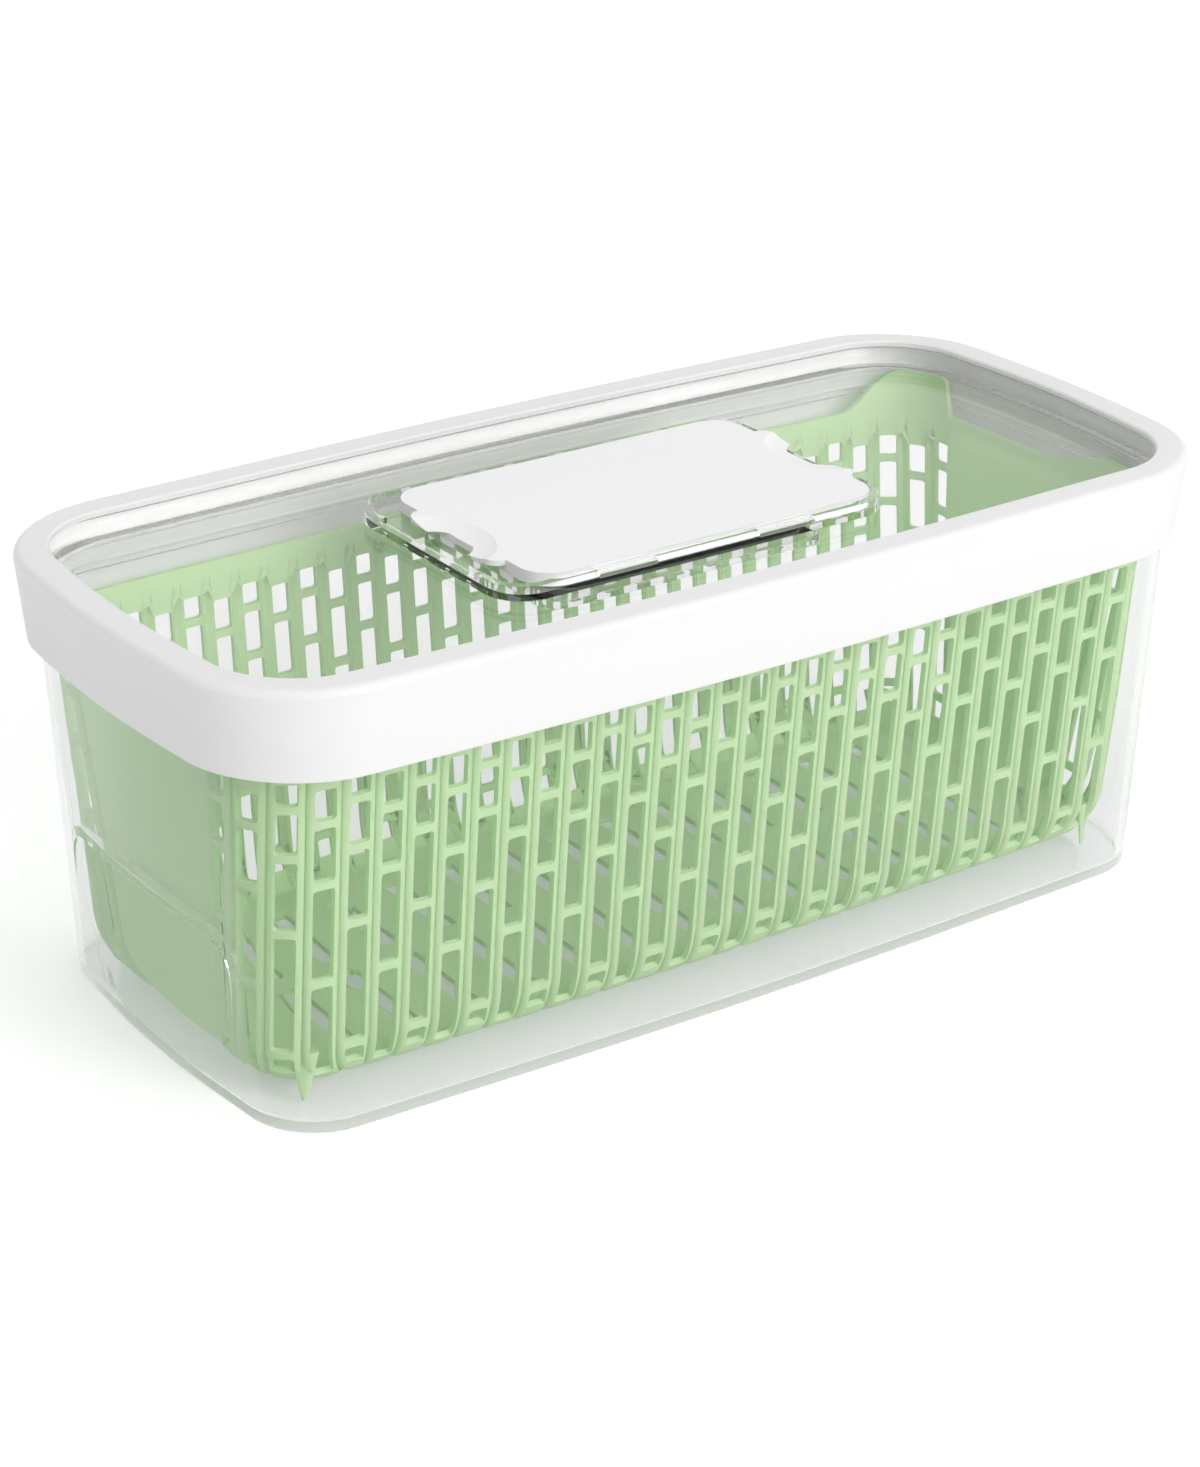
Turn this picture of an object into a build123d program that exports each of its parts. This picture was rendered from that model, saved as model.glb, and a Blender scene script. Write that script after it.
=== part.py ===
from build123d import *
import math
import os

# Produce keeper: a clear tub, a green slotted basket and a vented lid.
# Millimetres, +Z up, +X along the tub. The origin is the middle of the tub's flat base.

# Tub
base_length = 322.6
base_width = 145.8
base_corner = 21.0
rim_length = 336.7
rim_width = 151.9
rim_corner = 26.0
rim_height = 119.0
tub_wall = 2.2
tub_floor = 2.5
base_edge = 0.8
lip_depth = 3.0
lip_reach = 1.2

# Finger recess in each short end of the tub
recess_width = 91.0
recess_top = 52.0
recess_bottom = 12.0
recess_corner = 9.0

# How far the middle of a side stands out past its corners
bow_long = 3.6
bow_short = 4.6

# Lid ring
ring_length = 350.0
ring_width = 164.7
ring_corner = 37.0
ring_draft = 2.4
ring_depth = 27.0
ring_wall = 2.0
ring_shoulder = 10.2
ring_top = 136.3
ring_edge = 2.4
ring_cap = 1.8

# Lid panel, a clear tray inside the ring
fit_gap = 0.3
tray_depth = 7.3
tray_thick = 1.8
tray_fillet = 4.0
flange_thick = 1.8
seat_wall = 2.0

# Seal between the panel and the tub's rim
seal_thick = 3.0
seal_width = 4.0
seal_grip = 2.0
seat_gap = 0.2

# Vent housing, a clear frame in the middle of the panel
housing_length = 136.8
housing_width = 85.2
housing_corner = 12.5
housing_height = 4.4
housing_wall = 2.6
housing_edge = 0.8
deck_thick = 1.2
vent_slot_width = 3.0
vent_slot_length = 30.0
vent_slot_pitch = 9.0
vent_slot_count = 5
vent_slot_place = 21.0
notch_width = 2.0
notch_pitch = 11.0
notch_count = 5
notch_height = 1.0
gate_gap = 2.0
gate_sill = 2.6
latch_width = 20.0
latch_place = 28.0
latch_height = 1.6

# Vent cover, the white slider
cover_length = 122.0
cover_width = 79.2
cover_corner = 10.0
cover_thick = 3.8
cover_travel = 9.0
cover_edge = 0.7
tongue_reach = 4.6
tongue_width = 46.0
tongue_thick = 1.6
scoop_width = 42.0
scoop_depth = 1.4
scoop_reach = 14.0

# Filter well and pouch
well_length = 100.0
well_width = 70.0
well_corner = 8.0
well_depth = 9.4
well_wall = 1.6
well_slot_width = 3.0
well_slot_length = 52.0
well_slot_pitch = 12.0
well_slot_count = 7
pouch_seam = 5.0
pouch_skin = 0.5
pouch_thick = 5.6
pouch_corner = 7.0

# Basket
basket_rim_length = 320.6
basket_rim_width = 132.4
basket_rim_corner = 22.0
basket_rim = 113.8
basket_foot_length = 306.0
basket_foot_width = 115.0
basket_foot_corner = 15.0
basket_bottom = 6.5
basket_wall = 1.8
basket_floor = 2.0
basket_bow_long = 3.0
basket_bow_short = 1.5
flute_pitch = 10.0
flute_depth = 1.5
crown_width = 6.4
flute_columns = 17
flute_top = 107.0
turn_height = 11.0
turn_inset = 7.0
slot_width = 6.0
bar_height = 2.4
bars_odd = (96.5, 81.6, 58.0, 19.0)
bars_even = (91.0, 72.2, 41.3)
slot_top_odd = 104.3
slot_top_even = 101.6
slot_bottom_odd = 13.0
slot_bottom_even = 13.0
rim_wall = 2.6
rim_reach = 1.2
rim_lap = 0.8
tab_height = 12.4
tab_start = 134.0
tab_full = 152.0
tab_edge = 42.0
tab_round = 4.0
shoulder_height = 8.0
shoulder_start = 4.0
shoulder_full = 44.0
shoulder_edge = 147.0
foot_width = 8.0
foot_depth = 4.0
foot_tip = 2.6
foot_shift = 5.0
drain_columns = 6
drain_pitch = 20.0
drain_length = 34.0
drain_width = 6.0
drain_gap = 8.0

# Sizes that follow from the ones above
ring_bottom = ring_top - ring_depth
ring_ceiling = ring_top - ring_cap
mouth_length = ring_length - 2 * ring_shoulder
mouth_width = ring_width - 2 * ring_shoulder
mouth_corner = ring_corner - ring_shoulder - 2.3
tray_top = ring_top - tray_depth
tray_underside = tray_top - tray_thick
seal_bottom = rim_height + seat_gap
seal_top = seal_bottom + seal_thick + seal_grip
seat_length = rim_length - tub_wall
seat_width = rim_width - tub_wall
seat_corner = rim_corner - tub_wall / 2
deck_top = tray_top + deck_thick
bay_length = housing_length - 2 * housing_wall
bay_width = housing_width - 2 * housing_wall
cover_bottom = deck_top + seat_gap
cover_top = cover_bottom + cover_thick
well_bottom = tray_top - well_depth


def plan(length, width, corner, bow_x=bow_short, bow_y=bow_long):
    """A rounded rectangle whose four sides bow outwards a little."""
    a = length / 2 - bow_x
    b = width / 2 - bow_y
    sides = [
        ThreePointArc((-a, -b), (0, -width / 2), (a, -b)),
        ThreePointArc((a, -b), (length / 2, 0), (a, b)),
        ThreePointArc((a, b), (0, width / 2), (-a, b)),
        ThreePointArc((-a, b), (-length / 2, 0), (-a, -b)),
    ]
    face = make_face(sides)
    return fillet(face.vertices(), corner)


def block(*spots):
    """A drafted block through several plans, each given as its height and its plan's sizes."""
    sections = [Pos(0, 0, height) * plan(*sizes) for height, *sizes in spots]
    return loft(sections, ruled=True)


def drawn_in(size, inset):
    """A plan's length, width and corner radius, all drawn in by an inset."""
    length, width, corner = size
    return length - 2 * inset, width - 2 * inset, corner - inset


def save(name, shape):
    """Writes one piece, as a single solid or as a group of them."""
    solids = shape.solids()
    piece = solids[0] if len(solids) == 1 else Compound(children=list(solids))
    export_step(piece, f"parts/{name}.step")
    print(name, "solids", len(solids), "volume", round(sum(s.volume for s in solids)))


def tub_size(height, inset=0.0):
    """The tub's outer plan at a height, drawn in by an inset."""
    share = height / rim_height
    length = base_length + (rim_length - base_length) * share
    width = base_width + (rim_width - base_width) * share
    corner = base_corner + (rim_corner - base_corner) * share
    return (height,) + drawn_in((length, width, corner), inset)


def make_recess(grow):
    """The cutter for one finger recess at the +X end, grown all round by a wall."""
    end_at_bottom = tub_size(recess_bottom)[1] / 2
    reach = rim_length / 2 - end_at_bottom + 6
    height = recess_top + grow
    face = Plane.YZ * Pos(0, height / 2) * Rectangle(recess_width + 2 * grow, height)
    corners = face.vertices().group_by(Axis.Z)[-1]
    face = fillet(corners, recess_corner)
    return Pos(end_at_bottom - grow, 0, 0) * extrude(face, reach + grow, dir=(1, 0, 0))


def make_container():
    """The clear tub: drafted bowed walls, a lip at the rim and a finger recess in each short end."""
    body = block(tub_size(0, base_edge), tub_size(base_edge), tub_size(rim_height))
    body = body + block(tub_size(rim_height - lip_depth, -lip_reach), tub_size(rim_height, -lip_reach))
    cavity = block(tub_size(tub_floor, tub_wall), tub_size(rim_height + 1, tub_wall))
    for side in (0, 180):
        turn = Rot(0, 0, side)
        body = body - turn * make_recess(0)
        cavity = cavity - turn * make_recess(tub_wall)
    return body - cavity


def make_ring():
    """The white frame: a drafted skirt round the tub's rim and a flat top with a rounded outer edge."""
    low = (ring_length - 2 * ring_draft, ring_width - 2 * ring_draft, ring_corner - ring_draft)
    high = (ring_length, ring_width, ring_corner)
    turns = [math.radians(angle) for angle in (0, 30, 60, 90)]
    edge = [(ring_top - ring_edge * (1 - math.sin(t)), *drawn_in(high, ring_edge * (1 - math.cos(t)))) for t in turns]
    body = block((ring_bottom, *low), *edge)
    hollow = block((ring_bottom - 1, *drawn_in(low, ring_wall)), (ring_ceiling, *drawn_in(high, ring_wall)))
    mouth = Pos(0, 0, ring_ceiling - 1) * extrude(plan(mouth_length, mouth_width, mouth_corner), ring_cap + 2)
    return body - hollow - mouth


def make_panel():
    """The clear lid: a sunk tray with a filter well, a flange under the ring and a seat for the seal."""
    flange_reach = ring_wall + fit_gap
    share = (ring_top - ring_ceiling + flange_thick) / ring_depth
    pull = flange_reach + ring_draft * share
    flange = Pos(0, 0, ring_ceiling - flange_thick) * extrude(
        plan(ring_length - 2 * pull, ring_width - 2 * pull, ring_corner - pull), flange_thick
    )
    seat_high = ring_ceiling - flange_thick
    seat_low = seal_bottom + seal_thick
    seat = Pos(0, 0, seat_low) * extrude(
        plan(seat_length + seat_wall, seat_width + seat_wall, seat_corner + seat_wall / 2), seat_high - seat_low
    )
    under = Pos(0, 0, seat_low) * extrude(
        plan(seat_length - seat_wall, seat_width - seat_wall, seat_corner - seat_wall / 2),
        tray_underside - seat_low,
    )
    mouth = (mouth_length, mouth_width, mouth_corner)
    turns = [math.radians(angle) for angle in (90, 60, 30, 0)]
    bend = [(tray_top + tray_fillet * (1 - math.sin(t)), *drawn_in(mouth, tray_fillet * (1 - math.cos(t)))) for t in turns]
    tray = block(*bend, (ring_top, *mouth))
    body = flange + seat - under - tray
    well_outer = Pos(0, 0, well_bottom) * extrude(
        RectangleRounded(well_length, well_width, well_corner), tray_underside - well_bottom + 0.5
    )
    well_inner = Pos(0, 0, well_bottom + well_wall) * extrude(
        RectangleRounded(well_length - 2 * well_wall, well_width - 2 * well_wall, well_corner - well_wall),
        well_depth,
    )
    body = body + well_outer - well_inner
    slot = Box(well_slot_width, well_slot_length, 3 * well_wall)
    for step in range(well_slot_count):
        x = (step - (well_slot_count - 1) / 2) * well_slot_pitch
        body = body - Pos(x, 0, well_bottom) * slot
    return body


def make_seal():
    """A soft channel that grips the foot of the panel's seat and lies on the tub's rim."""
    outer = Pos(0, 0, seal_bottom) * extrude(
        plan(seat_length + seal_width, seat_width + seal_width, seat_corner + seal_width / 2), seal_top - seal_bottom
    )
    inner = Pos(0, 0, seal_bottom - 1) * extrude(
        plan(seat_length - seal_width, seat_width - seal_width, seat_corner - seal_width / 2),
        seal_top - seal_bottom + 2,
    )
    groove_outer = Pos(0, 0, seal_bottom + seal_thick) * extrude(
        plan(seat_length + seat_wall, seat_width + seat_wall, seat_corner + seat_wall / 2), seal_grip + 1
    )
    groove_inner = Pos(0, 0, seal_bottom + seal_thick) * extrude(
        plan(seat_length - seat_wall, seat_width - seat_wall, seat_corner - seat_wall / 2), seal_grip + 1
    )
    return outer - inner - (groove_outer - groove_inner)


def make_housing():
    """The clear frame that clips into the panel over the well, with vent slots in its deck."""
    body = Pos(0, 0, tray_top) * extrude(
        RectangleRounded(housing_length, housing_width, housing_corner), housing_height
    )
    body = chamfer(body.faces().sort_by(Axis.Z)[-1].edges(), housing_edge)
    bay = Pos(0, 0, deck_top) * extrude(
        RectangleRounded(bay_length, bay_width, housing_corner - housing_wall), housing_height
    )
    body = body - bay
    slot = Box(vent_slot_length, vent_slot_width, 3 * deck_thick)
    for step in range(vent_slot_count):
        y = (step - (vent_slot_count - 1) / 2) * vent_slot_pitch
        for side in (-1, 1):
            body = body - Pos(side * vent_slot_place, y, tray_top) * slot
    gate = Box(4 * housing_wall, tongue_width + 2 * gate_gap, 2 * (housing_height - gate_sill))
    notch = Box(housing_wall, notch_width, 2 * notch_height)
    window = Box(latch_width, 3 * housing_wall, latch_height)
    for side in (-1, 1):
        body = body - Pos(side * housing_length / 2, 0, tray_top + housing_height) * gate
        for step in range(notch_count):
            y = (step - (notch_count - 1) / 2) * notch_pitch
            body = body - Pos(side * housing_length / 2, y, tray_top) * notch
        for place in (-latch_place, latch_place):
            body = body - Pos(place, side * housing_width / 2, deck_top + latch_height) * window
    return body


def make_cover():
    """The white slider, with a thin tongue and a scooped finger dish at each end."""
    middle = cover_travel / 2
    body = Pos(middle, 0, cover_bottom) * extrude(
        RectangleRounded(cover_length, cover_width, cover_corner), cover_thick
    )
    tongue = Box(cover_length + 2 * tongue_reach, tongue_width, tongue_thick)
    corners = tongue.edges().filter_by(Axis.Z)
    tongue = fillet(corners, tongue_reach)
    body = body + Pos(middle, 0, cover_top - tongue_thick / 2) * tongue
    body = chamfer(body.faces().sort_by(Axis.Z)[-1].edges(), cover_edge)
    radius = (scoop_width**2 / 4 + scoop_depth**2) / (2 * scoop_depth)
    slope = math.degrees(math.atan(scoop_depth / scoop_reach))
    roller = Pos(0, 0, radius) * Rot(0, 90, 0) * Cylinder(radius, 4 * scoop_reach)
    scoop = Pos(cover_length / 2 + tongue_reach, 0, cover_top - scoop_depth) * Rot(0, slope, 0) * roller
    return body - Pos(middle, 0, 0) * scoop - Pos(middle, 0, 0) * Rot(0, 0, 180) * scoop


def make_pillow(length, width, low, high):
    """A soft block with sloped upper and lower edges."""
    slope = (high - low) * 0.35
    middle = (low + high) / 2
    sizes = [(low, slope), (middle, 0), (high, slope)]
    sections = [
        Pos(0, 0, height) * RectangleRounded(length - 2 * inset, width - 2 * inset, pouch_corner)
        for height, inset in sizes
    ]
    return loft(sections, ruled=True)


def make_pouch():
    """The pouch with its flat sealed seam, and the bed of granules that fills it."""
    length = well_length - 2 * well_wall - 2 * fit_gap
    width = well_width - 2 * well_wall - 2 * fit_gap
    low = well_bottom + well_wall + seat_gap
    seam = Pos(0, 0, low + pouch_thick / 2 - pouch_skin) * extrude(
        RectangleRounded(length, width, pouch_corner), 2 * pouch_skin
    )
    pillow = make_pillow(length - 2 * pouch_seam, width - 2 * pouch_seam, low, low + pouch_thick)
    inset = 2 * pouch_seam + 2 * pouch_skin
    bed = make_pillow(length - inset, width - inset, low + pouch_skin, low + pouch_thick - pouch_skin)
    return seam + pillow - bed, bed


def basket_size(height):
    """The basket's length, width and corner radius between its flutes at a height."""
    share = (height - basket_bottom) / (basket_rim - basket_bottom)
    length = basket_foot_length + (basket_rim_length - basket_foot_length) * share
    width = basket_foot_width + (basket_rim_width - basket_foot_width) * share
    corner = basket_foot_corner + (basket_rim_corner - basket_foot_corner) * share
    return length, width, corner


def station(along, height, inset=0.0):
    """The point and outward direction on the basket's +Y wall, a distance along it from the middle."""
    length, width, corner = basket_size(height)
    length, width, corner = length - 2 * inset, width - 2 * inset, corner - inset
    straight = length / 2 - corner
    side = 1 if along >= 0 else -1
    run = abs(along)
    turn = corner * math.pi / 2
    if run <= straight:
        bow = basket_bow_long * (run / straight) ** 2
        return Vector(side * run, width / 2 - bow, height), Vector(0, 1, 0)
    edge = width / 2 - basket_bow_long
    if run <= straight + turn:
        angle = math.pi / 2 - (run - straight) / corner
        x = straight + corner * math.cos(angle)
        y = edge - corner + corner * math.sin(angle)
        return Vector(side * x, y, height), Vector(side * math.cos(angle), math.sin(angle), 0)
    y = edge - corner - (run - straight - turn)
    return Vector(side * length / 2, y, height), Vector(side, 0, 0)


def basket_outline(height, inset=0.0):
    """The fluted outline of the basket at a height: outward flutes on the long walls, plain short walls."""
    half = (flute_columns + 0.5) * flute_pitch
    points = []
    for step in range(2 * flute_columns + 1):
        start = half - step * flute_pitch
        middle = start - flute_pitch / 2
        points.append(station(start, height, inset)[0])
        for side in (1, -1):
            edge, outward = station(middle + side * crown_width / 2, height, inset)
            points.append(edge + outward * flute_depth)
    points.append(station(-half, height, inset)[0])
    end = points[-1]
    bulge = Vector(end.X - basket_bow_short, 0, height)
    far = Vector(end.X, -end.Y, height)
    wall = Polyline(points).edges()
    face_edges = []
    for turn in (0, 180):
        spin = Rot(0, 0, turn)
        face_edges += [spin * edge for edge in wall]
        face_edges.append(spin * ThreePointArc(end, bulge, far))
    return make_face(face_edges)


def slot_spans(column):
    """The heights between which one column of the wall is open."""
    odd = column % 2 == 1
    bars = bars_odd if odd else bars_even
    high = slot_top_odd if odd else slot_top_even
    spans = []
    for bar in bars:
        spans.append((bar + bar_height / 2, high))
        high = bar - bar_height / 2
    low = slot_bottom_odd if odd else slot_bottom_even
    if high - low > bar_height:
        spans.append((low, high))
    return spans


def fluted_block(levels):
    """The fluted form of the basket through several levels, each a height and an inset."""
    sections = [basket_outline(height, inset) for height, inset in levels]
    return loft(sections, ruled=True)


def rim_block(low, high, inset):
    """The smooth form of the basket's rim between two heights, drawn in by an inset."""
    spots = []
    for height in (low, high):
        length, width, corner = basket_size(height)
        length = length + 2 * basket_bow_short
        bows = (basket_bow_short, basket_bow_long)
        spots.append((height, length - 2 * inset, width - 2 * inset, corner - inset) + bows)
    return block(*spots)


def make_rim():
    """The basket's rim, with a grip tab at two opposite corners and a low shoulder at the other two."""
    top = basket_rim + tab_height
    ceiling = top + 1
    band = rim_block(flute_top - rim_lap, top, -rim_reach)
    band = band - rim_block(flute_top - 2 * rim_lap, ceiling, rim_wall - rim_reach)
    swoop = Spline((tab_start, basket_rim), (tab_full, top), tangents=((1, 0.05), (1, 0.25)))
    above = Polyline(
        [(tab_full, top), (tab_full, ceiling), (-shoulder_edge, ceiling), (-shoulder_edge, basket_rim), (tab_start, basket_rim)]
    )
    long_gap = extrude(Plane.XZ * make_face([swoop, *above.edges()]), -basket_rim_width)
    shoulder_top = basket_rim + shoulder_height
    rise = Spline((-shoulder_start, basket_rim), (-shoulder_full, shoulder_top), tangents=((-1, 0.05), (-1, 0.1)))
    bend = tab_round * (1 - math.sqrt(0.5))
    rounding = ThreePointArc((tab_edge, top - tab_round), (tab_edge + bend, top - bend), (tab_edge + tab_round, top))
    sides = Polyline([(-shoulder_start, basket_rim), (tab_edge, basket_rim), (tab_edge, top - tab_round)]).edges()
    sides += Polyline(
        [
            (tab_edge + tab_round, top),
            (tab_edge + tab_round, ceiling),
            (-basket_rim_width, ceiling),
            (-basket_rim_width, shoulder_top),
            (-shoulder_full, shoulder_top),
        ]
    ).edges()
    short_gap = extrude(Plane.YZ * make_face([rise, rounding, *sides]), basket_rim_length)
    for turn in (0, 180):
        band = band - Rot(0, 0, turn) * long_gap - Rot(0, 0, turn) * short_gap
    return band


def make_foot():
    """One pointed foot, which goes down from a corner of the wall to the tub's floor."""
    length, width, corner = basket_size(basket_bottom)
    place, outward = station(length / 2 - corner + foot_shift, basket_bottom)
    top = basket_bottom + turn_height * 0.6
    tip = tub_floor + fit_gap
    sections = [
        Pos(0, 0, tip) * RectangleRounded(foot_tip, foot_tip, foot_tip * 0.35),
        Pos(0, 0, top) * RectangleRounded(foot_width, foot_depth, foot_tip * 0.35),
    ]
    spin = math.degrees(math.atan2(outward.Y, outward.X)) - 90
    return Pos(place.X, place.Y, 0) * Rot(0, 0, spin) * loft(sections, ruled=True)


def make_cutters():
    """The cutters for the openings in the two long walls and for the drain slots in the floor."""
    cutters = []
    for column in range(-flute_columns, flute_columns + 1):
        for low, high in slot_spans(abs(column)):
            middle = (low + high) / 2
            place, outward = station(column * flute_pitch, middle)
            if outward.X == 0:
                tool = Box(slot_width, 2 * basket_rim_width, high - low)
                cutters.append(Pos(place.X, 0, middle) * tool)
            else:
                tool = Box(slot_width, 10 * basket_wall, high - low)
                spin = math.degrees(math.atan2(outward.Y, outward.X)) - 90
                tool = Pos(place.X, place.Y, middle) * Rot(0, 0, spin) * tool
                cutters.append(tool)
                cutters.append(Rot(0, 0, 180) * tool)
    for column in range(-drain_columns, drain_columns + 1):
        for side in (-1, 1):
            spot = Pos(column * drain_pitch, side * (drain_length + drain_gap) / 2, basket_bottom)
            cutters.append(spot * Box(drain_width, drain_length, 3 * basket_floor))
    return cutters


def make_basket():
    turn_top = basket_bottom + turn_height
    outer = fluted_block(
        [
            (basket_bottom, turn_inset),
            (basket_bottom + turn_height * 0.2, turn_inset * 0.35),
            (turn_top, 0.0),
            (flute_top, 0.0),
        ]
    )
    inner = fluted_block(
        [
            (basket_bottom + basket_floor, turn_inset * 0.6 + basket_wall),
            (turn_top, basket_wall),
            (flute_top, basket_wall),
        ]
    )
    body = outer - inner + make_rim()
    feet = [make_foot()]
    for plane in (Plane.XZ, Plane.YZ):
        feet = feet + [mirror(foot, about=plane) for foot in feet]
    for foot in feet:
        body = body + foot
    return body - make_cutters()


os.makedirs("parts", exist_ok=True)
save("container", make_container())
save("lid_ring", make_ring())
save("lid_panel", make_panel())
save("lid_seal", make_seal())
save("vent_housing", make_housing())
save("vent_cover", make_cover())
pouch, bed = make_pouch()
save("filter_pouch", pouch)
save("carbon_bed", bed)
save("basket", make_basket())
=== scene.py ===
# %% [markdown]
# # A produce keeper
# The object is a long clear tub with a light green slotted basket inside it. A lid with a white ring
# closes it, and a white slider on the lid covers a vent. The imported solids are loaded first, and each
# visible piece is then modelled again in the same place, with finer edges and its own finish.

import math

import bpy
from mathutils import Euler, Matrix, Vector


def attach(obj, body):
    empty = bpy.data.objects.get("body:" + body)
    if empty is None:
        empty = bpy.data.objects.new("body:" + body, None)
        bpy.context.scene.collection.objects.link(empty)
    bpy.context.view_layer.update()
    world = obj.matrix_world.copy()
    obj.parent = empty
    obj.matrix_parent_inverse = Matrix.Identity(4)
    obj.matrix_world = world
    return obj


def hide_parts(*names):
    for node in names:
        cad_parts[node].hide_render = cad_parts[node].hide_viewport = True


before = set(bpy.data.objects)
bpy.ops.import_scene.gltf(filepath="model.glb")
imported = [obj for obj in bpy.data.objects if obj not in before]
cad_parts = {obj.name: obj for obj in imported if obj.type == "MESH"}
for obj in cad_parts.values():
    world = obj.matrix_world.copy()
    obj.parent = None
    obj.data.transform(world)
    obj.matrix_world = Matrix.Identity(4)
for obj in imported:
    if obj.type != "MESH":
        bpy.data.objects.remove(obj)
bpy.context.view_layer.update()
mm = 0.001
print("nodes", sorted(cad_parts))

# %% [markdown]
# ## Small helpers for modelling
# An operator acts on whatever is selected, so each helper first clears the selection. Faces, edges and
# points are then picked by their place, which keeps every step readable. All sizes are in millimetres,
# and `mm` turns them into metres.


# %% Select and edit helpers
def clear_selection():
    bpy.ops.object.select_all(action="DESELECT")


def make_active(piece):
    clear_selection()
    piece.select_set(True)
    bpy.context.view_layer.objects.active = piece


def start_edit(piece, kind="VERT"):
    """Opens edit mode on one piece with nothing selected."""
    make_active(piece)
    bpy.ops.object.mode_set(mode="EDIT")
    bpy.ops.mesh.select_mode(type=kind)
    bpy.ops.mesh.select_all(action="DESELECT")


def end_edit():
    bpy.ops.object.mode_set(mode="OBJECT")


def start_edit_on_edges(piece, test):
    """Opens edit mode with the edges selected whose middle and direction pass a test."""
    start_edit(piece, "EDGE")
    end_edit()
    points = piece.data.vertices
    for edge in piece.data.edges:
        a, b = (points[i].co / mm for i in edge.vertices)
        edge.select = test((a + b) / 2, (b - a).normalized())
    bpy.ops.object.mode_set(mode="EDIT")


def start_edit_on_faces(piece, test):
    """Opens edit mode with the faces selected whose middle and normal pass a test."""
    start_edit(piece, "FACE")
    end_edit()
    for face in piece.data.polygons:
        face.select = test(face.center / mm, face.normal)
    bpy.ops.object.mode_set(mode="EDIT")


def start_edit_on_points(piece, test):
    """Opens edit mode with the points selected whose place passes a test."""
    start_edit(piece)
    end_edit()
    for point in piece.data.vertices:
        point.select = test(point.co / mm)
    bpy.ops.object.mode_set(mode="EDIT")


# %% [markdown]
# ## Whole pieces
# A few helpers work on whole pieces: one writes a scale into the mesh, one joins pieces, one copies a
# piece with a mesh of its own, and one cuts a closed shape with another.


# %% Piece helpers
def settle(piece):
    """Writes the piece's place, turn and scale into its mesh."""
    make_active(piece)
    bpy.ops.object.transform_apply(location=True, rotation=True, scale=True)


def join(pieces):
    """Joins pieces into the first of them."""
    clear_selection()
    for piece in pieces:
        piece.select_set(True)
    bpy.context.view_layer.objects.active = pieces[0]
    bpy.ops.object.join()
    return pieces[0]


def copy_piece(piece):
    twin = piece.copy()
    twin.data = piece.data.copy()
    bpy.context.scene.collection.objects.link(twin)
    return twin


def add_block(name, low, high):
    """A cube between two corners."""
    middle = [(a + b) / 2 * mm for a, b in zip(low, high)]
    clear_selection()
    bpy.ops.mesh.primitive_cube_add(size=1, location=middle)
    block = bpy.context.active_object
    block.name = name
    block.scale = [(b - a) * mm for a, b in zip(low, high)]
    settle(block)
    return block


def add_rounded_block(name, low, high, corner, steps=8):
    """A block with its four upright edges rounded."""
    block = add_block(name, low, high)
    start_edit_on_edges(block, lambda middle, way: abs(way.z) > 0.9)
    bpy.ops.mesh.bevel(offset=corner * mm, segments=steps)
    end_edit()
    return block


def carve(piece, tool, how="DIFFERENCE"):
    """Cuts one closed shape with another, or joins them, and applies the result."""
    make_active(piece)
    step = piece.modifiers.new("carve", "BOOLEAN")
    step.operation = how
    step.solver = "EXACT"
    step.object = tool
    bpy.ops.object.modifier_apply(modifier=step.name)
    bpy.data.objects.remove(tool)
    return piece


def outward(piece):
    """Merges doubled points and turns every face outward."""
    start_edit(piece)
    bpy.ops.mesh.select_all(action="SELECT")
    bpy.ops.mesh.remove_doubles(threshold=0.02 * mm)
    bpy.ops.mesh.normals_make_consistent(inside=False)
    end_edit()
    return piece


# %% [markdown]
# ## Edges and shading
# A moulding has no sharp edges, and a small bevel catches the light as the real one does. Shading by
# angle alone would tilt the normals of wide flat faces near their edges, and a clear wall would then bend
# the view like a lens, so wide faces are given the most weight.


# %% Edge helpers
def shade(piece, angle=35):
    """Smooth shading in which wide flat faces keep their own normal."""
    make_active(piece)
    bpy.ops.object.shade_smooth_by_angle(angle=math.radians(angle))
    step = piece.modifiers.new("flat", "WEIGHTED_NORMAL")
    step.weight = 90
    step.keep_sharp = True
    bpy.ops.object.modifier_apply(modifier=step.name)
    return piece


def soften(piece, width, steps=2, angle=40):
    """Rounds every sharp edge a little, then shades the rest smooth."""
    make_active(piece)
    step = piece.modifiers.new("soften", "BEVEL")
    step.width = width * mm
    step.segments = steps
    step.limit_method = "ANGLE"
    step.angle_limit = math.radians(angle)
    step.use_clamp_overlap = True
    bpy.ops.object.modifier_apply(modifier=step.name)
    return shade(piece)


# %% [markdown]
# ## One outline for all the mouldings
# Tub, ring and lid share one plan: a rounded rectangle whose sides bow outwards a little, as moulded
# tubs do to look straight. A plane gets its corners rounded by a vertex bevel and its sides divided,
# and a small lattice then bows it.

# %% The bowed outline
corner_steps = 14
long_side_cuts = 23
short_side_cuts = 11
bow_long = 3.6
bow_short = 4.6


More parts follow.
